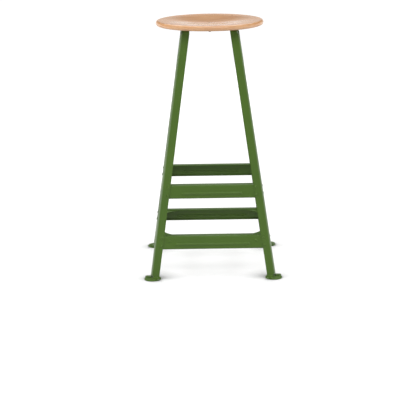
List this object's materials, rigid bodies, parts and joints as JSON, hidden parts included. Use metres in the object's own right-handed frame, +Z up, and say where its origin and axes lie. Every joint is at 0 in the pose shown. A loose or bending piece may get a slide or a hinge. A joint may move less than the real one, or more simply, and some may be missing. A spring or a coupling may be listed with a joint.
{
  "type": "bar stool",
  "caption": "Tall bar stool with splayed folded-steel legs, two rings of beaded channel rails as footrests, disc feet and a dished round wooden seat.",
  "frame": {"origin": "on the floor, under the middle of the seat", "axes": "+Z up, front towards -Y, +X to the right seen from the front"},
  "size_m": [0.439, 0.439, 0.802],
  "materials": {
    "frame_paint": "gloss",
    "seat_wood": "satin lacquer",
    "bolt_steel": "dull zinc"
  },
  "bodies": {
    "root": {"seat": "seat_wood", "leg_front_left": "frame_paint", "leg_front_right": "frame_paint", "leg_rear_right": "frame_paint", "leg_rear_left": "frame_paint", "upper_rail_front": "frame_paint", "upper_rail_right": "frame_paint", "upper_rail_rear": "frame_paint", "upper_rail_left": "frame_paint", "lower_rail_front": "frame_paint", "lower_rail_right": "frame_paint", "lower_rail_rear": "frame_paint", "lower_rail_left": "frame_paint", "corner_gusset_front_left": "frame_paint", "corner_gusset_front_right": "frame_paint", "corner_gusset_rear_right": "frame_paint", "corner_gusset_rear_left": "frame_paint", "seat_plate": "frame_paint", "foot_disc_front_left": "frame_paint", "foot_disc_front_right": "frame_paint", "foot_disc_rear_right": "frame_paint", "foot_disc_rear_left": "frame_paint", "upper_rail_rivets": "frame_paint", "lower_rail_rivets": "frame_paint", "gusset_rivets": "frame_paint", "foot_rivets": "frame_paint", "seat_plate_rivets": "frame_paint", "seat_bolt": "bolt_steel", "seat_washer": "bolt_steel", "seat_nut": "bolt_steel"}
  },
  "joints": []
}
